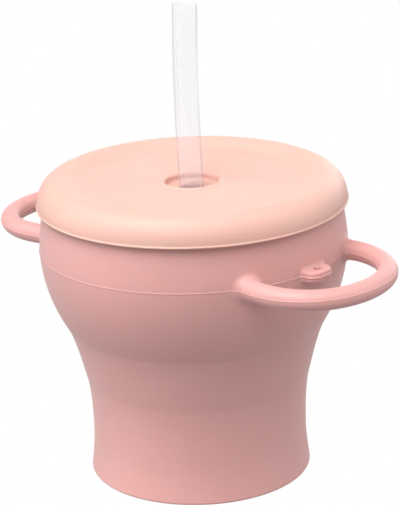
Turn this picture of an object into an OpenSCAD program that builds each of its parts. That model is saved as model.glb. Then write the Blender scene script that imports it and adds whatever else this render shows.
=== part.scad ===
// Folding straw cup for a small child: a soft silicone cup with two loop handles, a lid and a straw.
// Millimetres. The base stands on z = 0, the cup's axis is +Z and the handles point along +X and -X.
// A crease at the top and the bottom of a thin web lets the bowl slide down over the base.

/* [Base] */
// Outer radius where the cup meets the table
base_r = 36.5; // [34:0.1:38]
// Inward lean of the wall at the table, as radius lost per millimetre of height
base_lean = 0.15; // [0.1:0.01:0.2]
// How far the waist draws in from the radius at the table
waist_in = 1.25; // [0.5:0.05:2.5]
// Height of the waist
waist_z = 14; // [10:0.5:18]
// Thickness of the floor
floor_t = 3; // [2.2:0.1:4]
// Radius of the rounding between floor and wall inside
floor_fillet = 4; // [2:0.5:8]
// Radius of the outer bottom edge
base_edge = 1; // [0.5:0.1:2]
// Depth of the hollow under the base
foot_hollow = 0.8; // [0.4:0.1:1.2]
// Width of the ring that the base stands on
foot_w = 7; // [4:0.5:12]

/* [Fold web] */
// Height of the base, from the table to the lower crease
base_h = 32.4; // [30:0.1:35]
// How far the lower crease stands out from the waist
crease_out = 1.3; // [0.8:0.05:2]
// Slope of the base's wall at the lower crease, as radius gained per millimetre of height
base_slope = 0.19; // [0.1:0.01:0.25]
// Slope of the web at the lower crease
web_low_slope = 0.26; // [0.2:0.01:0.35]
// Slope of the web at the upper crease
web_high_slope = 0.39; // [0.3:0.01:0.5]
// Height of the web between its two creases; the bowl comes down by twice this
web_h = 18.6; // [16:0.1:20]
// How far the web widens between its creases
web_out = 5.45; // [4.5:0.05:6]
// Wall thickness of the web
web_t = 1.4; // [1:0.1:2]

/* [Bowl] */
// Wall thickness of base and bowl
wall_t = 2.4; // [1.8:0.1:3]
// Largest outer radius, at the mould's parting line
belly_r = 49.9; // [47:0.1:52]
// Slope of the bowl's wall at the upper crease
bowl_slope = 0.63; // [0.5:0.01:0.75]
// Height of the parting line, the handles and the strap lugs above the upper crease
belly_h = 25.8; // [22:0.1:30]
// Slope of the wall just below the parting line, as radius gained per millimetre of height
draft_low = 0.03; // [0:0.005:0.05]
// Slope of the wall just above the parting line, as radius lost per millimetre of height
draft_high = 0.015; // [0:0.005:0.05]
// How far the neck, just under the lid, draws in from the belly
neck_in = 1.45; // [0.5:0.05:3]
// Height of the neck above the parting line
neck_h = 14.2; // [12:0.1:18]
// Inward lean of the wall at the neck, as radius lost per millimetre of height
neck_lean = 0.08; // [0:0.01:0.15]
// Height of the rim's top face above the neck
rim_h = 4.6; // [4:0.1:6]
// Thickness of the rim
rim_t = 3.2; // [2.6:0.1:4]
// Height of the thickened band below the rim's top
rim_band_h = 5; // [3:0.5:8]
// Rounding of the rim's outer edge
rim_edge = 1.9; // [1:0.1:2.2]

/* [Handles] */
// Thickness of the round bar
handle_d = 6.4; // [5:0.1:8]
// Distance from the belly to the bar's centre at the tip
handle_stand = 22.8; // [17:0.1:26]
// Half the distance between the two sides of a loop, centre to centre
handle_half_w = 24.4; // [20:0.1:28]
// Radius of the bar's curve across the tip
tip_bend_r = 31; // [28:0.5:40]
// Half angle that the tip's curve covers
tip_angle = 23; // [15:1:35]
// Angle at which each side turns straight towards the cup
side_angle = 96; // [88:1:98]
// Radius of the flare where the bar grows out of the wall
root_fillet = 2.4; // [1.6:0.1:4]

/* [Strap lugs] */
// Distance from the belly to the lug's tip
lug_stand = 4.8; // [4.6:0.1:7]
// Width of the lug
lug_w = 10.6; // [9:0.1:13]
// Radius of the lug's front corners in plan
lug_corner = 3.8; // [3.2:0.1:4.2]
// Thickness of the lug
lug_t = 3.5; // [2.5:0.1:5]
// Diameter of the hole for a strap cord
lug_hole_d = 2.2; // [1.4:0.1:2.8]
// Material between the hole and the lug's tip
lug_land = 2; // [1.6:0.1:2.2]
// Rounding of the lug's edges
lug_edge = 0.8; // [0.3:0.1:1.2]
// Radius of the flare at the lug's root
lug_fillet = 1.4; // [0.8:0.1:1.6]

/* [Lid] */
// Thickness of the skirt
skirt_t = 1.25; // [1:0.05:2.5]
// Depth of the skirt below the rim's top face
skirt_h = 4.7; // [4:0.1:8]
// How far the skirt's lower edge stands out from the lid's side
skirt_flare = 0.3; // [0:0.1:0.6]
// Height of the lid's crest above the rim's top face
lid_rise = 4.5; // [4:0.1:8]
// Rounding of the lid's upper edge
lid_edge = 6.8; // [5:0.1:8]
// How far the lid's middle lies below its crest
lid_dish = 1.9; // [0.5:0.1:3]
// Thickness of the lid's top
lid_t = 2.6; // [2:0.1:3.2]
// Thickness of the sealing ring inside the rim
seal_t = 1.6; // [1.2:0.1:2.4]
// Depth of the sealing ring below the rim's top face
seal_h = 4.4; // [3:0.1:6]

/* [Straw well] */
// Inner radius of the well round the straw
well_r = 8.6; // [7:0.1:11]
// Depth of the well below its raised lip
well_depth = 3.5; // [2.5:0.1:5]
// Height of the raised lip over the lid's middle
lip_h = 0.6; // [0.3:0.1:1]
// Width of the raised lip
lip_w = 2; // [1.5:0.1:3]
// Thickness of the well's wall and floor
well_t = 2.2; // [1.6:0.1:3]
// Diameter of the air vent in the well's floor
vent_d = 1; // [0.6:0.1:1.5]
// Direction of the air vent, from +X
vent_angle = -58; // [-180:1:180]

/* [Straw] */
// Outer diameter of the straw
straw_d = 8; // [6:0.1:9]
// Wall thickness of the straw
straw_t = 1.2; // [0.8:0.1:1.6]
// Length of the straw
straw_l = 151.6; // [130:0.1:180]
// Rounding of the straw's ends
straw_edge = 0.35; // [0.2:0.05:0.5]

/* [Clearances] */
// Gap between the rim and the lid's skirt and sealing ring
lid_gap = 0.3; // [0.2:0.05:0.5]
// Gap all round the straw in the lid's hole
straw_gap = 0.05; // [0.02:0.01:0.09]

/* [Hidden] */
$fn = 96;

cup_color = "#dca9a3";
web_color = "#d79f99";
lid_color = "#f4cfc0";
straw_color = [0.93, 0.92, 0.94, 0.6];

curve_steps = 14;  // points along one span of the cup's outline
round_steps = 6;   // points along a small rounding
skip = 1;          // left out where two curves meet, so that no point is listed twice

waist_r = base_r - waist_in;
fold_low_z = base_h;
fold_low_r = waist_r + crease_out;
fold_high_z = fold_low_z + web_h;
fold_high_r = fold_low_r + web_out;
belly_z = fold_high_z + belly_h;
neck_z = belly_z + neck_h;
neck_r = belly_r - neck_in;
rim_top_z = neck_z + rim_h;

// Stations of the cup's outline: height, outer radius, slope below, slope above.
// A slope is the change of radius per millimetre of height.
table_station = [0, base_r, -base_lean, -base_lean];
waist_station = [waist_z, waist_r, 0, 0];
low_station = [fold_low_z, fold_low_r, base_slope, web_low_slope];
high_station = [fold_high_z, fold_high_r, web_high_slope, bowl_slope];
belly_station = [belly_z, belly_r, draft_low, -draft_high];
neck_station = [neck_z, neck_r, -neck_lean, -neck_lean];

// Radius and slope on the cubic curve between stations a and b at height z
function span_r(z, a, b) = let(h = b[0] - a[0], t = (z - a[0]) / h)
    a[1] * (2 * pow(t, 3) - 3 * pow(t, 2) + 1) + a[3] * h * (pow(t, 3) - 2 * pow(t, 2) + t)
    + b[1] * (3 * pow(t, 2) - 2 * pow(t, 3)) + b[2] * h * (pow(t, 3) - pow(t, 2));
function span_slope(z, a, b) = let(h = b[0] - a[0], t = (z - a[0]) / h)
    (a[1] * (6 * pow(t, 2) - 6 * t) + b[1] * (6 * t - 6 * pow(t, 2))) / h
    + a[3] * (3 * pow(t, 2) - 4 * t + 1) + b[2] * (3 * pow(t, 2) - 2 * t);

// Points [radius, height] between two stations from height z0 to z1, a wall's thickness inside the skin
function span_line(a, b, z0, z1, t = 0) = [for (i = [0:curve_steps])
    let(z = z0 + (z1 - z0) * i / curve_steps, s = span_slope(z, a, b))
    [span_r(z, a, b) - t * sqrt(1 + s * s), z]];

// Points on an arc round a centre, from angle a0 to a1
function arc_line(c, r, a0, a1, n = round_steps) = [for (i = [0:n])
    let(a = a0 + (a1 - a0) * i / n) [c[0] + r * cos(a), c[1] + r * sin(a)]];

// Centre of a rounding at height z that is tangent to a wall with the given radius there and inward lean
function edge_centre(r, z, wall_r, lean) = [wall_r - r * sqrt(1 + lean * lean), z];

floor_top_z = foot_hollow + floor_t;
fillet_z = floor_top_z + floor_fillet;
fillet_r = span_r(fillet_z, table_station, waist_station) - wall_t - floor_fillet;
foot_inner_r = base_r - foot_w;
foot_centre = edge_centre(base_edge, base_edge, base_r - base_lean * base_edge, base_lean);
rim_inner_r = neck_r - neck_lean * rim_h - rim_t;
rim_inner_edge = rim_edge / 4;
rim_centre = edge_centre(rim_edge, rim_top_z - rim_edge, neck_r - neck_lean * (rim_h - rim_edge), neck_lean);
band_z = rim_top_z - rim_band_h;
band_taper = 2;     // height over which the band thins to the wall, for each millimetre of thickness lost
band_low_z = band_z - band_taper * (rim_t - wall_t);

module base_cup() color(cup_color) rotate_extrude() polygon(concat(
    [[0, foot_hollow], [foot_inner_r - foot_hollow, foot_hollow], [foot_inner_r, 0]],
    arc_line(foot_centre, base_edge, -90, atan(base_lean)),
    span_line(table_station, waist_station, base_edge + skip, waist_z),
    span_line(waist_station, low_station, waist_z + skip, fold_low_z),
    span_line(waist_station, low_station, fold_low_z, waist_z, wall_t),
    span_line(table_station, waist_station, waist_z - skip, fillet_z + skip, wall_t),
    arc_line([fillet_r, fillet_z], floor_fillet, 0, -90),
    [[0, floor_top_z]]));

module fold_web() color(web_color) rotate_extrude() polygon(concat(
    span_line(low_station, high_station, fold_low_z, fold_high_z),
    span_line(low_station, high_station, fold_high_z, fold_low_z, web_t)));

// The bowl's outline from the upper crease to the rim's rounded outer edge
bowl_skin = concat(
    span_line(high_station, belly_station, fold_high_z, belly_z),
    span_line(belly_station, neck_station, belly_z + skip, neck_z),
    arc_line(rim_centre, rim_edge, atan(neck_lean), 90));

module upper_bowl() color(cup_color) rotate_extrude() polygon(concat(
    bowl_skin,
    arc_line([rim_inner_r + rim_inner_edge, rim_top_z - rim_inner_edge], rim_inner_edge, 90, 180),
    [[rim_inner_r, band_z]],
    span_line(belly_station, neck_station, band_low_z, belly_z, wall_t),
    span_line(high_station, belly_station, belly_z - skip, fold_high_z, wall_t)));

// The bowl's outer shape as a full solid, which trims what grows out of the wall
module bowl_core() rotate_extrude() polygon(concat([[0, fold_high_z]], bowl_skin, [[0, rim_top_z]]));

handle_r = handle_d / 2;
tip_cx = belly_r + handle_stand - tip_bend_r;
side_bend_r = (handle_half_w - tip_bend_r * sin(tip_angle)) / (1 - sin(tip_angle));
side_cx = tip_cx + (tip_bend_r - side_bend_r) * cos(tip_angle);
side_cy = (tip_bend_r - side_bend_r) * sin(tip_angle);
root_x = side_cx + side_bend_r * cos(side_angle);
root_y = side_cy + side_bend_r * sin(side_angle);
wall_x = sqrt(pow(belly_r, 2) - pow(root_y, 2));
root_sink = 1.8;    // how far the flare starts inside the skin, so that its whole edge meets the wall
root_l = root_x - wall_x + root_sink;
hair = 0.01;        // the tip and the roots are thicker than the sides by this, and run over their ends
hair_angle = 0.5;   // how far the tip runs over each side
hair_l = 0.3;       // how far a root runs over its side

module bar_arc(centre, bend_r, from, to, bar_r) translate([centre[0], centre[1], belly_z])
    rotate([0, 0, from]) rotate_extrude(angle = to - from) translate([bend_r, 0]) circle(r = bar_r, $fn = 48);

// Straight end of the bar that flares into the wall
module bar_root() translate([root_x, root_y, belly_z]) rotate([0, 0, side_angle - 90]) rotate([0, -90, 0])
    rotate_extrude($fn = 48) polygon(concat([[0, -hair_l], [handle_r + hair, -hair_l]],
        arc_line([handle_r + hair + root_fillet, root_l - root_fillet], root_fillet, 180, 90),
        [[0, root_l]]));

module handle() color(cup_color) difference() {
    union() {
        bar_arc([tip_cx, 0], tip_bend_r, -tip_angle - hair_angle, tip_angle + hair_angle, handle_r + hair);
        for (side = [0, 1]) mirror([0, side, 0]) {
            bar_arc([side_cx, side_cy], side_bend_r, tip_angle, side_angle, handle_r);
            bar_root();
        }
    }
    bowl_core();
}

module right_handle() handle();
module left_handle() rotate([0, 0, 180]) handle();

lug_half_w = lug_w / 2;
lug_corner_y = lug_half_w - lug_corner;
lug_reach = belly_r + lug_stand;
lug_corner_x = lug_reach - lug_corner;
lug_hole_x = lug_reach - lug_land - lug_hole_d / 2;
lug_root_x = belly_r - wall_t;

// Upright section of the lug from a corner's centre outwards, with rounded edges
lug_section = concat([[0, -lug_t / 2]],
    arc_line([lug_corner - lug_edge, lug_edge - lug_t / 2], lug_edge, -90, 0),
    arc_line([lug_corner - lug_edge, lug_t / 2 - lug_edge], lug_edge, 0, 90),
    [[0, lug_t / 2]]);

// Plan of the flare on one side of the lug's root
lug_wall_x = sqrt(pow(belly_r, 2) - pow(lug_half_w + lug_fillet, 2));
lug_flare = concat([[lug_root_x - lug_fillet, 0], [lug_wall_x + lug_fillet, 0]],
    arc_line([lug_wall_x + lug_fillet, lug_half_w + lug_fillet], lug_fillet, 270, 180),
    [[lug_root_x - lug_fillet, lug_half_w + lug_fillet]]);

module strap_lug() color(cup_color) difference() {
    translate([0, 0, belly_z]) {
        translate([lug_corner_x, 0, 0]) rotate([90, 0, 0])
            linear_extrude(2 * lug_corner_y, center = true) polygon(lug_section);
        translate([lug_root_x - lug_fillet, -lug_corner_y, -lug_t / 2])
            cube([lug_corner_x - lug_root_x + lug_fillet, 2 * lug_corner_y, lug_t]);
        for (side = [0, 1]) mirror([0, side, 0]) {
            translate([lug_corner_x, lug_corner_y, 0]) {
                rotate_extrude(angle = 90) polygon(lug_section);
                rotate([90, 0, -90]) mirror([1, 0, 0])
                    linear_extrude(lug_corner_x - lug_root_x + lug_fillet) polygon(lug_section);
            }
            translate([0, 0, lug_edge - lug_t / 2]) linear_extrude(lug_t - 2 * lug_edge) polygon(lug_flare);
        }
    }
    bowl_core();
    translate([lug_hole_x, 0, belly_z - lug_t]) cylinder(h = 2 * lug_t, d = lug_hole_d);
}

module right_strap_lug() strap_lug();
module left_strap_lug() rotate([0, 0, 180]) strap_lug();

skirt_inner_r = neck_r + lid_gap;
lid_r = skirt_inner_r + skirt_t;
skirt_r = lid_r + skirt_flare;
skirt_low_z = rim_top_z - skirt_h;
lid_top_z = rim_top_z + lid_rise;
skirt_edge = 0.7;      // rounding of the skirt's lower edge
groove_edge = rim_edge + lid_gap;
seal_r = rim_inner_r - lid_gap;
seal_low_z = rim_top_z - seal_h;
crest_r = lid_r - lid_edge;
middle_z = lid_top_z - lid_dish;
lip_r = well_r + lip_w;
lip_top_z = middle_z + lip_h;
well_floor_z = lip_top_z - well_depth;
well_low_z = well_floor_z - well_t;
well_outer_r = well_r + well_t;
well_edge = well_t / 3;
under_z = middle_z - lid_t;
hole_r = straw_d / 2 + straw_gap;
vent_r = (hole_r + well_r) / 2;
well_corner = 0.6;    // bevel between the well's wall and its floor
lip_edge = lip_w / 2;
lip_cz = lip_top_z - lip_edge;
lip_start = asin(1 - lip_h / lip_edge);  // angle at which the lip rises out of the dished top

// The lid's dished top and its underside: heights on a cubic curve from the lip out to the crest
function dish_line(r0, r1, drop) = [for (i = [0:curve_steps])
    let(r = r0 + (r1 - r0) * i / curve_steps, t = max(0, min(1, (r - lip_r) / (crest_r - lip_r))))
    [r, middle_z - drop + lid_dish * (3 * pow(t, 2) - 2 * pow(t, 3))]];

lid_profile = concat(
    [[hole_r, well_low_z], [well_outer_r - well_edge, well_low_z], [well_outer_r, well_low_z + well_edge]],
    dish_line(well_outer_r, seal_r - seal_t, lid_t),
    arc_line([seal_r - seal_t / 2, seal_low_z + seal_t / 2], seal_t / 2, 180, 360),
    [[seal_r, rim_top_z]],
    arc_line([skirt_inner_r - groove_edge, rim_top_z - groove_edge], groove_edge, 90, 0),
    [[skirt_inner_r, skirt_low_z]],
    arc_line([skirt_r - skirt_edge, skirt_low_z + skirt_edge], skirt_edge, -90, 0),
    arc_line([crest_r, lid_top_z - lid_edge], lid_edge, 0, 90, curve_steps),
    dish_line(crest_r - skip, lip_r, 0),
    arc_line([well_r + lip_edge, lip_cz], lip_edge, lip_start, 180),
    [[well_r, well_floor_z + well_corner], [well_r - well_corner, well_floor_z], [hole_r, well_floor_z]]);

module lid() color(lid_color) difference() {
    rotate_extrude() polygon(lid_profile);
    rotate([0, 0, vent_angle]) translate([vent_r, 0, well_low_z - skip])
        cylinder(h = well_t + 2 * skip, d = vent_d);
}

straw_r = straw_d / 2;
straw_bore_r = straw_r - straw_t;
straw_top_z = floor_top_z + straw_l;

module straw() color(straw_color) rotate_extrude() polygon(concat(
    [[straw_bore_r + straw_edge, floor_top_z]],
    arc_line([straw_r - straw_edge, floor_top_z + straw_edge], straw_edge, -90, 0),
    arc_line([straw_r - straw_edge, straw_top_z - straw_edge], straw_edge, 0, 90),
    arc_line([straw_bore_r + straw_edge, straw_top_z - straw_edge], straw_edge, 90, 180),
    [[straw_bore_r, floor_top_z + straw_edge]]));

base_cup();
fold_web();
upper_bowl();
right_handle();
left_handle();
right_strap_lug();
left_strap_lug();
lid();
straw();
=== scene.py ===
import math

import bpy
import numpy as np
from mathutils import Matrix, Vector


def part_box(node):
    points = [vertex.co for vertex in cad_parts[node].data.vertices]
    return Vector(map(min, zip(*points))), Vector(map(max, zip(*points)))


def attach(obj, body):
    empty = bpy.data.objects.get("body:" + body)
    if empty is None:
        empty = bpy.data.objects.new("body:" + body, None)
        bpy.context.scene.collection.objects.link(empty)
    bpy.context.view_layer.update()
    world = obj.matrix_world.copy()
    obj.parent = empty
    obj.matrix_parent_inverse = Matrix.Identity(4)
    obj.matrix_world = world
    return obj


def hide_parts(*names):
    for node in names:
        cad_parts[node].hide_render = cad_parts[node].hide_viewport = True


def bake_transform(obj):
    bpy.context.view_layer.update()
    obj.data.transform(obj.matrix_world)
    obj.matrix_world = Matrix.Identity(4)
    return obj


# Folding silicone straw cup: one soft moulding with two loop handles, a push-on lid and a clear straw.
# Shapes are worked out in millimetres and put into the meshes in metres.

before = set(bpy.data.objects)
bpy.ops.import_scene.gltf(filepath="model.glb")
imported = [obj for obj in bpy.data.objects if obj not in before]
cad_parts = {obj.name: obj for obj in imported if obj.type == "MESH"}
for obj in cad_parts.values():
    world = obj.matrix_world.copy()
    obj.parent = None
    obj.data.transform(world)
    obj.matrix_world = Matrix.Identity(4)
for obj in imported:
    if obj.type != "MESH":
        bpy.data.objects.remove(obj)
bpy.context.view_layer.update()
scene = bpy.context.scene
scene.view_settings.view_transform = "Standard"


camera = {
    "azimuth": -47.07,     # degrees from +X, round the cup's axis
    "distance": 0.6530,    # metres from the axis, level
    "height": 0.2939,      # metres above the floor
    "pitch": 18.69,        # degrees below level
    "roll": -2.045,        # degrees
    "lens": 151.43,        # millimetres
    "sensor": 36,          # millimetres, its height
    "shift": (0.0118, 0.00096),
    "clip": (0.01, 10),    # metres
}


def addCamera():
    # The camera stands on a circle round the cup and looks at its axis, tipped down and rolled a little
    a = math.radians(camera["azimuth"])
    data = bpy.data.cameras.new("photoCamera")
    data.sensor_fit = "VERTICAL"
    data.sensor_height = camera["sensor"]
    data.lens = camera["lens"]
    data.shift_x, data.shift_y = camera["shift"]
    data.clip_start, data.clip_end = camera["clip"]
    shot = bpy.data.objects.new("photoCamera", data)
    scene.collection.objects.link(shot)
    face = Matrix.Rotation(a + math.pi / 2, 4, "Z")
    tip = Matrix.Rotation(math.radians(90 - camera["pitch"]), 4, "X")
    roll = Matrix.Rotation(math.radians(camera["roll"]), 4, "Z")
    spot = Vector((camera["distance"] * math.cos(a), camera["distance"] * math.sin(a), camera["height"]))
    shot.matrix_world = Matrix.Translation(spot) @ (face @ tip) @ roll
    scene.camera = shot


addCamera()
print("camera placed")


def edges(node):
    # Lowest and highest corner of a node, in millimetres
    low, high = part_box(node)
    return np.array(low) * 1000, np.array(high) * 1000


webLow, webHigh = edges("fold_web")
loopLow, loopHigh = edges("right_handle")
lidLow, lidHigh = edges("lid")
strawLow, strawHigh = edges("straw")
bowlHigh, tabHigh = edges("upper_bowl")[1], edges("right_strap_lug")[1]
foldLowZ, foldHighZ, rimTopZ = webLow[2], webHigh[2], bowlHigh[2]
bellyZ = (loopLow[2] + loopHigh[2]) / 2
bellyR = bowlHigh[0]


def steps(*spans):
    # Sorted grid levels from spans of (start, stop, step)
    parts = [np.linspace(a, b, max(1, round((b - a) / step)) + 1) for a, b, step in spans]
    return np.unique(np.round(np.concatenate(parts), 4))


def smoothStep(x, a, b):
    # 0 below a, 1 above b, a smooth cubic between
    t = np.clip((x - a) / (b - a), 0, 1)
    return t * t * (3 - 2 * t)


def filletUnion(a, b, radius):
    # The nearer of two surfaces, with a round fillet of that radius where they meet
    nearer = np.maximum(radius, np.minimum(a, b))
    return nearer - np.hypot(np.maximum(radius - a, 0), np.maximum(radius - b, 0))


def roundedCut(a, b, radius):
    # What two shapes share, its edge rounded to that radius
    shared = np.minimum(-radius, np.maximum(a, b))
    return shared + np.hypot(np.maximum(radius + a, 0), np.maximum(radius + b, 0))


def gradient(field, points, reach=0.02):
    # Slope of the field along X, Y and Z, by differences over a small reach
    rows = []
    for axis in range(3):
        step = np.zeros(3)
        step[axis] = reach
        rows.append((field(*(points + step).T) - field(*(points - step).T)) / (2 * reach))
    return np.stack(rows, -1)


def fieldSurface(field, angles, heights, radii, rounds=4):
    # The surface where the field is zero, on a grid of angle, height and radius. Each cell that the surface
    # passes gets one point, the mean of the places where it crosses the cell's edges. Each crossed edge gets
    # one quad, from the four cells round it. The points then move along the slope onto the surface itself.
    n, m, k = len(angles), len(heights), len(radii)
    a, h, r = np.meshgrid(np.radians(angles), heights, radii, indexing="ij")
    spots = np.stack([r * np.cos(a), r * np.sin(a), h], -1)
    value = field(spots[..., 0], spots[..., 1], spots[..., 2])
    total, count = np.zeros((n, m - 1, k - 1, 3)), np.zeros((n, m - 1, k - 1))

    def cellsBy(edge, axes, back):
        # The cells that lie so many steps back from the edges along two axes, and whether the grid has them
        cell = [row.copy() for row in edge]
        for axis, less in zip(axes, back):
            cell[axis] -= less
        cell[0] %= n
        return cell, (cell[1] >= 0) & (cell[1] < m - 1) & (cell[2] >= 0) & (cell[2] < k - 1)

    crossed = []
    for axis in range(3):
        if axis == 0:
            here, ahead, spotHere, spotAhead = value, np.roll(value, -1, 0), spots, np.roll(spots, -1, 0)
        else:
            lower, upper = range(value.shape[axis] - 1), range(1, value.shape[axis])
            here, ahead = np.take(value, lower, axis), np.take(value, upper, axis)
            spotHere, spotAhead = np.take(spots, lower, axis), np.take(spots, upper, axis)
        i, j, l = np.nonzero((here < 0) != (ahead < 0))
        t = (here[i, j, l] / (here[i, j, l] - ahead[i, j, l]))[:, None]
        at = spotHere[i, j, l] * (1 - t) + spotAhead[i, j, l] * t
        others = [b for b in range(3) if b != axis]
        for back in ((0, 0), (0, 1), (1, 0), (1, 1)):
            cell, good = cellsBy((i, j, l), others, back)
            np.add.at(total, tuple(c[good] for c in cell), at[good])
            np.add.at(count, tuple(c[good] for c in cell), 1)
        crossed.append((i, j, l, here[i, j, l] < 0))
    used = np.nonzero(count)
    number = np.full(count.shape, -1)
    number[used] = np.arange(len(used[0]))
    points = total[used] / count[used][:, None]
    quads, caps = [], []
    for axis, (i, j, l, outward) in enumerate(crossed):
        ring = []
        for back in ((1, 1), (0, 1), (0, 0), (1, 0)):
            cell, inside = cellsBy((i, j, l), ((axis + 1) % 3, (axis + 2) % 3), back)
            place = tuple(np.clip(cell[d], 0, count.shape[d] - 1) for d in range(3))
            ring.append(np.where(inside, number[place], -1))
        ring = np.stack(ring, -1)
        ring[~outward] = ring[~outward][:, ::-1]
        whole = (ring >= 0).all(1)
        quads.append(ring[whole])
        if axis == 1:
            centre = ~whole & (l == 0)
            caps.append((j[centre], outward[centre], ring[centre]))
    # The grid stops short of the axis: a fan of triangles closes the floor there, from above and from below
    for level, outward, ring in caps:
        for j in np.unique(level):
            rows = ring[level == j]
            pole = len(points)
            points = np.vstack([points, [[0, 0, points[rows[rows >= 0]][:, 2].mean()]]])
            quads.append(np.where(rows < 0, pole, rows))
    for _ in range(rounds):
        slope = gradient(field, points)
        points = points - slope * (field(*points.T) / np.maximum((slope**2).sum(1), 1e-6))[:, None]
    return points, np.vstack(quads), gradient(field, points)


def addPiece(name, points, faces, normals=None):
    # A mesh object from points in millimetres. A face that names one point twice is a triangle
    mesh = bpy.data.meshes.new(name)
    rows = [tuple(dict.fromkeys(face)) for face in faces.tolist()]
    mesh.from_pydata((points / 1000).tolist(), [], rows)
    mesh.validate()
    mesh.shade_smooth()
    if normals is not None:
        length = np.linalg.norm(normals, axis=1, keepdims=True)
        mesh.normals_split_custom_set_from_vertices((normals / np.maximum(length, 1e-9)).tolist())
    piece = bpy.data.objects.new(name, mesh)
    scene.collection.objects.link(piece)
    return piece


def arc(x, z, radius, fromAngle, toAngle, count, rise=None):
    # Points on a round edge in the plane of radius and height, or on an oval one that is as high as rise
    a = np.radians(np.linspace(fromAngle, toAngle, count))
    return np.stack([x + radius * np.cos(a), z + (rise or radius) * np.sin(a)], -1)


def turned(profile, columns):
    # A closed profile of (radius, height) turned round the axis: points and quads that face outwards
    a = np.linspace(0, 2 * np.pi, columns, endpoint=False)
    count = len(profile)
    points = np.stack([np.outer(np.cos(a), profile[:, 0]), np.outer(np.sin(a), profile[:, 0]),
                       np.tile(profile[:, 1], (columns, 1))], -1).reshape(-1, 3)
    i, j = np.meshgrid(np.arange(columns), np.arange(count), indexing="ij")
    i2, j2 = (i + 1) % columns, (j + 1) % count
    quads = np.stack([i * count + j, i2 * count + j, i2 * count + j2, i * count + j2], -1).reshape(-1, 4)
    return points, quads


cup = {
    # Outline: height, outer radius, slope just below, slope just above
    "outline": [(0, 36.5, -0.15, -0.15), (14, 35.25, 0, 0), (foldLowZ, 36.55, 0.19, 0.26),
                (foldHighZ, 42, 0.41, 0.61), (bellyZ, bellyR, 0.03, -0.015), (91, 48.45, -0.08, -0.08)],
    "wall": 2.4, "webWall": 1.4, "creaseHalf": 1.5,
    "rimWall": 3.2, "bandZ": (89.0, 90.6), "rimEdge": 1.9, "rimInnerEdge": 0.5,
    "floorTop": 3.8, "floorFillet": 4.0, "footEdge": 1.0, "footHollow": 0.8, "footInnerR": 29.2,
    # Loops. They are soft, so the right and the left one each have their own reach and droop
    "barR": 3.21, "tipBend": 30.9, "tipAngle": 21.7, "halfWidth": 24.4, "sideAngle": 97.0,
    "rootFillet": 2.2, "tipX": (71.4, 73.7), "droop": (0.041, 0.0),
    # Strap lugs
    "tabHalfWidth": 5.3, "tabCorner": 3.8, "tabHalfHeight": 1.75, "tabEdge": 0.8, "tabFillet": 1.2,
    "tabHoleR": 1.1, "tabHoleEdge": 0.25, "tabLand": 2.0,
    # Mould line: how far it stands out, and how high it is
    "seamHeight": 0.12, "seamWidth": 0.2, "tabSeam": (0.16, 0.3),
    # How far up and down the grid stays fine, at the mould line and at the loops
    "seamFine": 0.6, "loopFine": 8.4,
}
stations = np.array(cup["outline"], float)


def outlineAt(z):
    # Cubic curve through the stations, straight on past both ends: radius and slope at each height
    i = np.clip(np.searchsorted(stations[:, 0], z, side="right") - 1, 0, len(stations) - 2)
    z0, r0, _, s0 = np.moveaxis(stations[i], -1, 0)
    z1, r1, s1, _ = np.moveaxis(stations[i + 1], -1, 0)
    h = z1 - z0
    t = np.clip((z - z0) / h, 0, 1)
    radius = r0 * (2 * t**3 - 3 * t**2 + 1) + r1 * (3 * t**2 - 2 * t**3)
    radius += h * (s0 * (t**3 - 2 * t**2 + t) + s1 * (t**3 - t**2))
    slope = (r1 - r0) / h * (6 * t - 6 * t**2) + s0 * (3 * t**2 - 4 * t + 1) + s1 * (3 * t**2 - 2 * t)
    return radius + slope * (z - z0 - t * h), slope


def loopGap(x, y, reach):
    # Distance in plan from the middle line of a loop handle: a wide arc across the tip, a tighter one round
    # each side and a straight run into the wall, each tangent to the next
    bend, a = cup["tipBend"], math.radians(cup["tipAngle"])
    sideBend = (cup["halfWidth"] - bend * math.sin(a)) / (1 - math.sin(a))
    tipX = reach - bend
    sideX, sideY = tipX + (bend - sideBend) * math.cos(a), (bend - sideBend) * math.sin(a)
    b = math.radians(cup["sideAngle"])
    rootX, rootY = sideX + sideBend * math.cos(b), sideY + sideBend * math.sin(b)
    far = 1e3
    tip = np.where(np.arctan2(y, x - tipX) <= a, np.abs(np.hypot(x - tipX, y) - bend), far)
    turn = np.arctan2(y - sideY, x - sideX)
    side = np.where((turn >= a) & (turn <= b), np.abs(np.hypot(x - sideX, y - sideY) - sideBend), far)
    along = (rootX - x) * math.sin(b) + (y - rootY) * math.cos(b)
    across = (x - rootX) * math.cos(b) + (y - rootY) * math.sin(b)
    root = np.where(along >= 0, np.abs(across), far)
    return np.minimum(np.minimum(tip, side), root)


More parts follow.
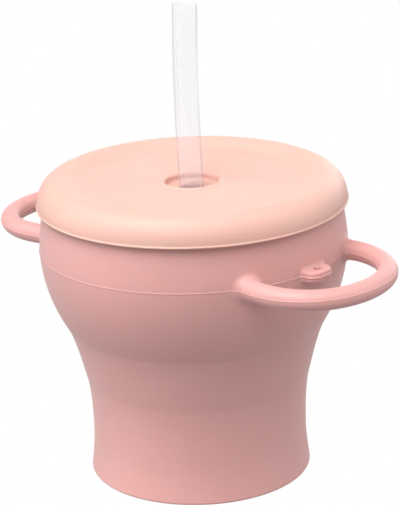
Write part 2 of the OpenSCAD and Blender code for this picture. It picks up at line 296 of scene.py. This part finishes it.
def cupField(x, y, z):
    # Below zero inside the silicone. The outline's solid, joined to both loops and lugs with fillets, less
    # the cavity. A hairline ridge runs round everything at the height where the two mould halves met
    radius, slope = outlineAt(z)
    side = (np.hypot(x, y) - radius) / np.sqrt(1 + slope**2)
    foot = np.maximum(np.hypot(x, y) - cup["footInnerR"], z - cup["footHollow"])
    body = np.maximum(roundedCut(side, -z, cup["footEdge"]), -foot)
    out, over, rise = np.abs(x), np.abs(y), z - bellyZ
    reach = np.where(x > 0, *cup["tipX"])
    sunk = np.where(x > 0, *cup["droop"]) * np.maximum(out - bellyR, 0)
    bar = np.hypot(loopGap(out, over, reach), rise + sunk) - cup["barR"]
    corner = cup["tabCorner"]
    pastTip, pastSide = out - tabHigh[0] + corner, over - cup["tabHalfWidth"] + corner
    plan = np.hypot(np.maximum(pastTip, 0), np.maximum(pastSide, 0)) - corner
    tab = roundedCut(plan, np.abs(rise) - cup["tabHalfHeight"], cup["tabEdge"])
    tab = tab - cup["tabSeam"][0] * np.exp(-(rise / cup["tabSeam"][1])**2)
    holeX = tabHigh[0] - cup["tabLand"] - cup["tabHoleR"]
    body = filletUnion(filletUnion(body, bar, cup["rootFillet"]), tab, cup["tabFillet"])
    body = body - cup["seamHeight"] * np.exp(-(rise / cup["seamWidth"])**2)
    body = roundedCut(body, cup["tabHoleR"] - np.hypot(out - holeX, over), cup["tabHoleEdge"])
    body = roundedCut(body, z - rimTopZ, cup["rimEdge"])
    half = cup["creaseHalf"]
    web = smoothStep(z, foldLowZ - half, foldLowZ + half) - smoothStep(z, foldHighZ - half, foldHighZ + half)
    band = smoothStep(z, *cup["bandZ"])
    wall = cup["wall"] + (cup["webWall"] - cup["wall"]) * web + (cup["rimWall"] - cup["wall"]) * band
    cavity = roundedCut(side + wall, cup["floorTop"] - z, cup["floorFillet"])
    return roundedCut(body, -cavity, cup["rimInnerEdge"])


def buildCup():
    # The grid's spans of even steps, in degrees and millimetres. Round the cup it is fine at the loops and
    # lugs, and up the cup at the foot, the floor, both creases, the mould line and the rim
    quarter = steps((0, 2.4, 0.4), (2.4, 7, 0.58), (7, 36, 1.04), (36, 90, 2.4))
    half = np.concatenate([quarter, 180 - quarter[::-1]])
    angles = np.unique(np.round(np.concatenate([half, 360 - half]) % 360, 4))
    crease, seam, loop, bandLowZ = cup["creaseHalf"], cup["seamFine"], cup["loopFine"], cup["bandZ"][0]
    base = [(-0.6, 1.6, 0.2), (1.6, 3.2, 0.8), (3.2, 4.6, 0.35), (4.6, 8, 0.85), (8, foldLowZ - crease, 1.7)]
    web = [(foldLowZ - crease, foldLowZ + crease, 0.5), (foldLowZ + crease, foldHighZ - crease, 1.4),
           (foldHighZ - crease, foldHighZ + crease, 0.5)]
    bowl = [(foldHighZ + crease, bellyZ - loop, 1.5), (bellyZ - loop, bellyZ - seam, 0.75),
            (bellyZ - seam, bellyZ + seam, 0.13), (bellyZ + seam, bellyZ + loop, 0.75),
            (bellyZ + loop, bandLowZ, 0.95), (bandLowZ, 93, 0.6), (93, rimTopZ + 0.4, 0.3)]
    radii = steps((1.2, 27, 2.2), (27, 33.5, 0.8), (33.5, 50.4, 0.65), (50.4, 57, 0.45),
                  (57, max(cup["tipX"]) + 4, 0.8))
    points, quads, normals = fieldSurface(cupField, angles, steps(*base, *web, *bowl), radii)
    piece = addPiece("cup", points, quads, normals)
    print("cup:", len(points), "points,", len(quads), "quads")
    return piece


cupPiece = buildCup()
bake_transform(cupPiece)
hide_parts("base_cup", "fold_web", "upper_bowl",
            "right_handle", "left_handle", "right_strap_lug", "left_strap_lug")


lid = {
    "edge": 6.8, "shoulder": 8.5,           # the oval upper edge, its width and its height
    "dish": 2.6, "dishR": 35.0, "top": 2.5,
    "flare": 0.3, "skirtEdge": 0.7, "gap": 0.3,
    "sealWidth": 1.6, "sealDepth": 4.4,
    "wellR": 8.6, "wellDepth": 2.65, "wellWall": 2.2, "wellCorner": 0.9,
    "lipHeight": 0.45, "lipWidth": 2.0, "lipSkip": 12.0,
    "holeR": 4.05, "holeEdge": 0.2, "ventR": 0.5, "ventAngle": -58.0,
    "chamfer": 0.15, "skirtChamfer": 0.25,
    # Short slants from one stretch of the section to the next
    "join": 0.3, "trimJoin": 0.1, "crestJoin": 0.6, "lipJoin": 0.5,
    "columns": 288,
}
wellFloorZ = lidHigh[2] - lid["dish"] + lid["lipHeight"] - lid["wellDepth"]


def lidProfile():
    # Once round the lid's section: the well's floor from below, the dished underside, the sealing ring, the
    # groove for the rim, the skirt, the oval edge, the dished top, the raised lip and the well. The dish is
    # flat out to its radius and then rises on a smooth step to the crest
    skirtR, skirtLowZ, topZ = lidHigh[0], lidLow[2], lidHigh[2]
    crestR, middleZ = skirtR - lid["flare"] - lid["edge"], topZ - lid["dish"]
    neckZ, neckR, _, lean = stations[-1]
    innerR = neckR + lid["gap"]
    grooveEdge = cup["rimEdge"] + lid["gap"]
    sealR = neckR + lean * (rimTopZ - neckZ) - cup["rimWall"] - lid["gap"]
    sealHalf, sealLowZ = lid["sealWidth"] / 2, rimTopZ - lid["sealDepth"]
    lipHalf = lid["lipWidth"] / 2
    lipR, lipTopZ = lid["wellR"] + lid["lipWidth"], middleZ + lid["lipHeight"]
    lipStart = math.degrees(math.asin(1 - lid["lipHeight"] / lipHalf)) + lid["lipSkip"]
    lowZ, outR, trim = wellFloorZ - lid["wellWall"], lid["wellR"] + lid["wellWall"], lid["wellWall"] / 3
    corner, chamfer, join, holeEdge = lid["wellCorner"], lid["chamfer"], lid["join"], lid["holeEdge"]

    def level(fromR, toR, z):
        return np.stack([np.linspace(fromR, toR, 5), np.full(5, z)], -1)

    def dished(fromR, toR, drop, count):
        r = np.linspace(fromR, toR, count)
        return np.stack([r, middleZ - drop + lid["dish"] * smoothStep(r, lid["dishR"], crestR)], -1)

    return np.vstack([
        level(lid["holeR"], outR - trim - lid["trimJoin"], lowZ),
        arc(outR - trim, lowZ + trim, trim, -90, 0, 6),
        dished(outR + join, sealR - lid["sealWidth"] - join, lid["top"], 24),
        arc(sealR - sealHalf, sealLowZ + sealHalf, sealHalf, 180, 360, 12),
        [[sealR, rimTopZ - 1.5], [sealR, rimTopZ - chamfer], [sealR + chamfer, rimTopZ]],
        arc(innerR - grooveEdge, rimTopZ - grooveEdge, grooveEdge, 90, 0, 9),
        [[innerR, (rimTopZ + skirtLowZ) / 2 - 1], [innerR, skirtLowZ + lid["skirtChamfer"]]],
        [[innerR + chamfer, skirtLowZ]],
        arc(skirtR - lid["skirtEdge"], skirtLowZ + lid["skirtEdge"], lid["skirtEdge"], -90, 0, 8),
        arc(crestR, topZ - lid["shoulder"], lid["edge"], 0, 90, 28, lid["shoulder"]),
        dished(crestR - lid["crestJoin"], lipR + lid["lipJoin"], 0, 44),
        arc(lid["wellR"] + lipHalf, lipTopZ - lipHalf, lipHalf, lipStart, 180, 14),
        [[lid["wellR"], (wellFloorZ + corner + lipTopZ - lipHalf) / 2]],
        arc(lid["wellR"] - corner, wellFloorZ + corner, corner, 0, -90, 6),
        level(lid["wellR"] - corner - join, lid["holeR"] + holeEdge, wellFloorZ),
        [[lid["holeR"], wellFloorZ - holeEdge], [lid["holeR"], lowZ + holeEdge]],
    ])


def drilled(piece, spot, radius, depth, sides=24, above=1):
    # A round hole straight down through the piece, cut and cleaned up at once
    a = np.linspace(0, 2 * np.pi, sides, endpoint=False)
    ring = np.stack([spot[0] + radius * np.cos(a), spot[1] + radius * np.sin(a)], -1)
    lower = np.column_stack([ring, np.full(sides, spot[2] - depth)])
    upper = np.column_stack([ring, np.full(sides, spot[2] + above)])
    i = np.arange(sides)
    ahead = (i + 1) % sides
    walls = np.stack([i, ahead, ahead + sides, i + sides], -1).tolist()
    ends = [list(range(sides - 1, -1, -1)), list(range(sides, 2 * sides))]
    mesh = bpy.data.meshes.new("drill")
    mesh.from_pydata((np.vstack([lower, upper]) / 1000).tolist(), [], walls + ends)
    drill = bpy.data.objects.new("drill", mesh)
    scene.collection.objects.link(drill)
    cut = piece.modifiers.new("vent", "BOOLEAN")
    cut.operation, cut.solver, cut.object = "DIFFERENCE", "EXACT", drill
    bpy.context.view_layer.update()
    result = bpy.data.meshes.new_from_object(piece.evaluated_get(bpy.context.evaluated_depsgraph_get()))
    piece.modifiers.clear()
    piece.data = result
    bpy.data.objects.remove(drill)


def buildLid():
    points, quads = turned(lidProfile(), lid["columns"])
    piece = addPiece("lid_shell", points, quads)
    a = math.radians(lid["ventAngle"])
    ventR = (lid["holeR"] + lid["wellR"]) / 2
    spot = (ventR * math.cos(a), ventR * math.sin(a), wellFloorZ)
    drilled(piece, spot, lid["ventR"], lid["wellWall"] + 1)
    print("lid:", len(piece.data.vertices), "points")
    return piece


lidPiece = buildLid()
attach(lidPiece, "lid")
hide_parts("lid")


straw = {
    "outerR": 4.0, "boreR": 2.8, "edge": 0.35, "columns": 64, "rings": 60, "plainEnd": 2,
    "bow": 0.65, "bowTurn": -137.0, "bowSpan": 0.9,    # how far and which way the soft tube bends
}


def buildStraw():
    # A tube with rounded ends, its long walls divided into rings. From the well's floor up it bends out a
    # little on a sine curve
    low, high, edge = strawLow[2], strawHigh[2], straw["edge"]
    up = np.linspace(low + straw["plainEnd"], high - straw["plainEnd"], straw["rings"])
    outer, bore = straw["outerR"], straw["boreR"]
    profile = np.vstack([
        arc(outer - edge, low + edge, edge, -90, 0, 6), np.column_stack([np.full(len(up), outer), up]),
        arc(outer - edge, high - edge, edge, 0, 90, 6), arc(bore + edge, high - edge, edge, 90, 180, 6),
        np.column_stack([np.full(len(up), bore), up[::-1]]), arc(bore + edge, low + edge, edge, 180, 270, 6)])
    points, quads = turned(profile, straw["columns"])
    t = np.clip((points[:, 2] - wellFloorZ) / (high - wellFloorZ), 0, 1)
    out, way = straw["bow"] * np.sin(math.pi * straw["bowSpan"] * t), math.radians(straw["bowTurn"])
    points[:, :2] += out[:, None] * (math.cos(way), math.sin(way))
    piece = addPiece("strawTube", points, quads)
    print("straw:", len(points), "points")
    return piece


strawPiece = buildStraw()
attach(strawPiece, "straw")
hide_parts("straw")


def feed(tree, socket, x):
    # A socket takes a constant, or a link from another node
    if isinstance(x, (int, float, tuple)):
        socket.default_value = x
    else:
        tree.links.new(x, socket)


def add(tree, kind, *inputs, **settings):
    # One node of a shader tree, fed in the order of its sockets
    node = tree.nodes.new(kind)
    for name, value in settings.items():
        setattr(node, name, value)
    for socket, x in zip(node.inputs, inputs):
        feed(tree, socket, x)
    return node


def newGroup(name, inputs, outputs):
    group = bpy.data.node_groups.new(name, "ShaderNodeTree")
    for label, kind, value in inputs:
        socket = group.interface.new_socket(name=label, in_out="INPUT", socket_type=kind)
        socket.default_value = value
    for label, kind in outputs:
        group.interface.new_socket(name=label, in_out="OUTPUT", socket_type=kind)
    return group, group.nodes.new("NodeGroupInput"), group.nodes.new("NodeGroupOutput")


def noise(tree, vector, scale, detail=2.0, rough=0.5):
    node = tree.nodes.new("ShaderNodeTexNoise")
    for label, x in (("Vector", vector), ("Scale", scale), ("Detail", detail), ("Roughness", rough)):
        feed(tree, node.inputs[label], x)
    return node.outputs["Fac"]


def between(tree, value, low, high, outLow, outHigh):
    # The value's range from low to high, stretched over another range and held at its ends
    return add(tree, "ShaderNodeMapRange", value, low, high, outLow, outHigh).outputs["Result"]


def mixed(tree, factor, a, b):
    node = tree.nodes.new("ShaderNodeMix")
    node.data_type = "RGBA"
    for label, x in (("Factor", factor), ("A", a), ("B", b)):
        feed(tree, node.inputs[label], x)
    return node.outputs["Result"]


moulded = {
    "cloudScale": 38.0, "cloudDetail": 3.0, "cloudMost": 0.35,
    "softScale": 160.0, "softHeight": 0.6, "polishSwing": 0.04,
    "middle": (0.3, 0.7),                   # the part of a noise's range that shows
}


def siliconeSkin():
    # Soft pigment clouding and the fine grain of a blasted mould
    tree, given, result = newGroup("siliconeSkin", [
        ("Colour", "NodeSocketColor", (0.8, 0.5, 0.45, 1)),
        ("Deep Colour", "NodeSocketColor", (0.7, 0.4, 0.35, 1)),
        ("Roughness", "NodeSocketFloat", 0.5), ("Grain", "NodeSocketFloat", 3500.0)],
        [("Colour", "NodeSocketColor"), ("Roughness", "NodeSocketFloat"), ("Height", "NodeSocketFloat")])
    where = tree.nodes.new("ShaderNodeTexCoord").outputs["Object"]
    patches = noise(tree, where, moulded["cloudScale"], moulded["cloudDetail"])
    cloud = between(tree, patches, *moulded["middle"], 0.0, moulded["cloudMost"])
    colour = mixed(tree, cloud, given.outputs["Colour"], given.outputs["Deep Colour"])
    fine = noise(tree, where, given.outputs["Grain"], 2.0, 0.6)
    soft = noise(tree, where, moulded["softScale"])
    height = add(tree, "ShaderNodeMath", soft, moulded["softHeight"], fine, operation="MULTIPLY_ADD")
    swing = between(tree, soft, *moulded["middle"], -moulded["polishSwing"], moulded["polishSwing"])
    polish = add(tree, "ShaderNodeMath", swing, given.outputs["Roughness"], operation="ADD")
    tree.links.new(colour, result.inputs["Colour"])
    tree.links.new(polish.outputs[0], result.inputs["Roughness"])
    tree.links.new(height.outputs[0], result.inputs["Height"])
    return tree


drawn = {
    "streakRange": (0.45, 0.7), "streakMost": 0.5, "streakRough": 0.1,
    "stretch": (1, 1, 0.02),                # streaks change 50 times slower with height than across
}


def clearSkin():
    # Faint drawing marks along the tube: thin streaks that change slowly with height. Outside is 1 on the
    # outer wall and 0 in the bore
    tree, given, result = newGroup("clearSkin", [
        ("Colour", "NodeSocketColor", (0.9, 0.9, 0.9, 1)),
        ("Streak Colour", "NodeSocketColor", (0.8, 0.8, 0.8, 1)),
        ("Roughness", "NodeSocketFloat", 0.3), ("Streaks", "NodeSocketFloat", 1500.0),
        ("Bore", "NodeSocketFloat", 0.0032), ("Wall", "NodeSocketFloat", 0.0036)],
        [("Colour", "NodeSocketColor"), ("Roughness", "NodeSocketFloat"), ("Height", "NodeSocketFloat"),
         ("Outside", "NodeSocketFloat")])
    where = tree.nodes.new("ShaderNodeTexCoord").outputs["Object"]
    level = add(tree, "ShaderNodeVectorMath", where, (1, 1, 0), operation="MULTIPLY").outputs["Vector"]
    radius = add(tree, "ShaderNodeVectorMath", level, operation="LENGTH").outputs["Value"]
    outside = add(tree, "ShaderNodeMapRange", radius, given.outputs["Bore"], given.outputs["Wall"])
    along = add(tree, "ShaderNodeVectorMath", where, drawn["stretch"], operation="MULTIPLY").outputs["Vector"]
    streak = noise(tree, along, given.outputs["Streaks"])
    mask = between(tree, streak, *drawn["streakRange"], 0.0, drawn["streakMost"])
    colour = mixed(tree, mask, given.outputs["Colour"], given.outputs["Streak Colour"])
    polish = add(tree, "ShaderNodeMath", streak, drawn["streakRough"], given.outputs["Roughness"],
                 operation="MULTIPLY_ADD")
    tree.links.new(colour, result.inputs["Colour"])
    tree.links.new(polish.outputs[0], result.inputs["Roughness"])
    tree.links.new(streak, result.inputs["Height"])
    tree.links.new(outside.outputs["Result"], result.inputs["Outside"])
    return tree


def makeFinish(name, group, values, outputs, fixed, bump):
    # A material whose Principled shader takes its varying sockets from the group and its fixed ones from a
    # table. The group's Height goes through a bump of the given strength and distance
    material = bpy.data.materials.new(name)
    material.use_nodes = True
    tree = material.node_tree
    shader = tree.nodes["Principled BSDF"]
    place = tree.nodes.new("ShaderNodeGroup")
    place.node_tree = group
    for label, value in values.items():
        place.inputs[label].default_value = value
    for source, target in outputs.items():
        tree.links.new(place.outputs[source], shader.inputs[target])
    for label, value in fixed.items():
        shader.inputs[label].default_value = value
    relief = tree.nodes.new("ShaderNodeBump")
    relief.inputs["Strength"].default_value, relief.inputs["Distance"].default_value = bump
    tree.links.new(place.outputs["Height"], relief.inputs["Height"])
    tree.links.new(relief.outputs["Normal"], shader.inputs["Normal"])
    return material


skinGroup = siliconeSkin()
cupFinish = makeFinish(
    "cupSilicone", skinGroup,
    {"Colour": (0.655, 0.343, 0.324, 1), "Deep Colour": (0.635, 0.327, 0.308, 1), "Roughness": 0.5,
     "Grain": 3500.0},
    {"Colour": "Base Color", "Roughness": "Roughness"},
    {"IOR": 1.41, "Subsurface Weight": 0.35, "Subsurface Radius": (1.0, 0.45, 0.35),
     "Subsurface Scale": 0.003, "Sheen Weight": 0.15, "Sheen Roughness": 0.4, "Specular IOR Level": 0.75},
    (0.12, 0.0002))
lidFinish = makeFinish(
    "lidSilicone", skinGroup,
    {"Colour": (0.70, 0.425, 0.362, 1), "Deep Colour": (0.69, 0.41, 0.342, 1), "Roughness": 0.48,
     "Grain": 3500.0},
    {"Colour": "Base Color", "Roughness": "Roughness"},
    {"IOR": 1.41, "Subsurface Weight": 0.4, "Subsurface Radius": (1.0, 0.55, 0.35),
     "Subsurface Scale": 0.002},
    (0.12, 0.0002))
strawFinish = makeFinish(
    "clearSilicone", clearSkin(),
    {"Colour": (0.82, 0.83, 0.88, 1), "Streak Colour": (0.79, 0.79, 0.85, 1), "Roughness": 0.2,
     "Streaks": 900.0},
    {"Roughness": "Roughness"},
    {"IOR": 1.41},
    (0.05, 0.0001))

veil = {
    "from": 0.25, "to": 0.65,               # from facing the eye to edge on
    "face": 0.105, "edge": 0.30,            # how solid the wall looks at each
    # Edge on, the tube is also darker: a painted shade for the dark surroundings that a clear wall bends into
    # view
    "paintedEdgeShade": (0.52, 0.50, 0.55, 1),
}


def seeThrough(material):
    # A clear wall: nearly see-through where it faces the eye, milky where it is seen edge on. It is also
    # darker edge on: painted shade for the dark surroundings that a clear wall bends into view at its edges
    tree = material.node_tree
    shader, skin = tree.nodes["Principled BSDF"], next(node for node in tree.nodes if node.type == "GROUP")
    facing = tree.nodes.new("ShaderNodeLayerWeight").outputs["Facing"]
    rim = between(tree, facing, veil["from"], veil["to"], 0.0, 1.0)
    # The edge mask, on the outer wall only, makes the wall more solid there and lays on the painted edge
    # shade
    edge = add(tree, "ShaderNodeMath", rim, skin.outputs["Outside"], operation="MULTIPLY").outputs[0]
    tree.links.new(mixed(tree, edge, skin.outputs["Colour"], veil["paintedEdgeShade"]), shader.inputs["Base Color"])
    tree.links.new(between(tree, edge, 0.0, 1.0, veil["face"], veil["edge"]), shader.inputs["Alpha"])


seeThrough(strawFinish)
for piece, material in ((cupPiece, cupFinish), (lidPiece, lidFinish), (strawPiece, strawFinish)):
    piece.data.materials.clear()
    piece.data.materials.append(material)
print("finishes made")


studio = {
    "floorHalf": 3.0,
    "floorGlow": 0.53,         # light that the pale floor throws back up
    "panels": {                # soft lights: degrees round from the camera, elevation, half width, brightness
        "key": (-60, 60, 30, 7.2),
        "over": (0, 60, 30, 3.6),
        "front": (-20, 35, 30, 2.0),
        "left": (-90, 5, 30, 2.8),
        "right": (90, 5, 30, 3.1),
        "rightHigh": (90, 45, 30, 1.4),
        "backRight": (150, 5, 30, 2.9),
        "back": (180, 5, 30, 1.0),
    },
}


def whiteToCamera(tree, otherwise):
    # Brightness 1 where the camera sees it, and the other value for all light that it gives the cup
    seen = tree.nodes.new("ShaderNodeLightPath").outputs["Is Camera Ray"]
    return between(tree, seen, 0.0, 1.0, otherwise, 1.0)


def buildFloor():
    half = studio["floorHalf"]
    mesh = bpy.data.meshes.new("floor")
    corners = [(-half, -half, 0), (half, -half, 0), (half, half, 0), (-half, half, 0)]
    mesh.from_pydata(corners, [], [(0, 1, 2, 3)])
    floor = bpy.data.objects.new("floor", mesh)
    scene.collection.objects.link(floor)
    paper = bpy.data.materials.new("paper")
    paper.use_nodes = True
    tree = paper.node_tree
    tree.nodes.clear()
    glow = add(tree, "ShaderNodeEmission", (1, 1, 1, 1), whiteToCamera(tree, studio["floorGlow"]))
    add(tree, "ShaderNodeOutputMaterial", glow.outputs[0])
    paper.cycles.emission_sampling = "NONE"
    mesh.materials.append(paper)


def lightStudio():
    # The world's light is a sum of round lobes, each brightest in its middle and fading on a smooth step
    world = bpy.data.worlds.new("studio")
    world.use_nodes = True
    scene.world = world
    tree = world.node_tree
    tree.nodes.clear()
    way = tree.nodes.new("ShaderNodeTexCoord").outputs["Generated"]
    total = 0.0
    for turn, elevation, width, bright in studio["panels"].values():
        a, e = math.radians(camera["azimuth"] + turn), math.radians(elevation)
        middle = (math.cos(a) * math.cos(e), math.sin(a) * math.cos(e), math.sin(e))
        facing = add(tree, "ShaderNodeVectorMath", way, middle, operation="DOT_PRODUCT").outputs["Value"]
        lobe = add(tree, "ShaderNodeMapRange", facing, math.cos(math.radians(width)), 1.0, 0.0, bright,
                   interpolation_type="SMOOTHSTEP")
        total = add(tree, "ShaderNodeMath", lobe.outputs[0], total, operation="ADD").outputs[0]
    back = add(tree, "ShaderNodeBackground", (1, 1, 1, 1), whiteToCamera(tree, total))
    add(tree, "ShaderNodeOutputWorld", back.outputs[0])


buildFloor()
lightStudio()
print("studio lit")
